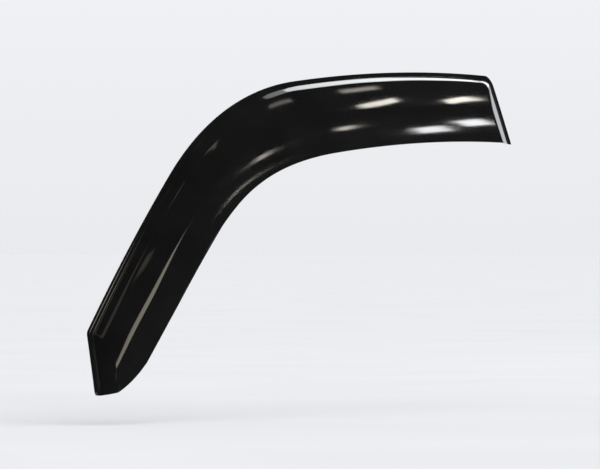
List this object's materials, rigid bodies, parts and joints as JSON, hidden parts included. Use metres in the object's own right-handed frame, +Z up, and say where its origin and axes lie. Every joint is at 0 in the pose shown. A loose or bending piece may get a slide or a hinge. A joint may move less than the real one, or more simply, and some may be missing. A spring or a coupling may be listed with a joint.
{
  "type": "window rain deflector",
  "caption": "Smoked acrylic visor for the top of a car's front left door window: taped flange, step, panel with a ridge and a free lip that leaves an air gap over the glass.",
  "frame": {"origin": "on the outside of the door frame, at the centre line of the tape on the roof run, under the middle of that run", "axes": "+X rearward along the car, +Y inward to the car, +Z up; the outside of the visor faces -Y"},
  "size_m": [0.8768, 0.0802, 0.3459],
  "materials": {
    "smoked_acrylic": "gloss",
    "foam_tape": "matte"
  },
  "bodies": {
    "root": {"visor": "smoked_acrylic", "roof_tape": "foam_tape", "corner_tape": "foam_tape", "pillar_tape": "foam_tape"}
  },
  "joints": []
}
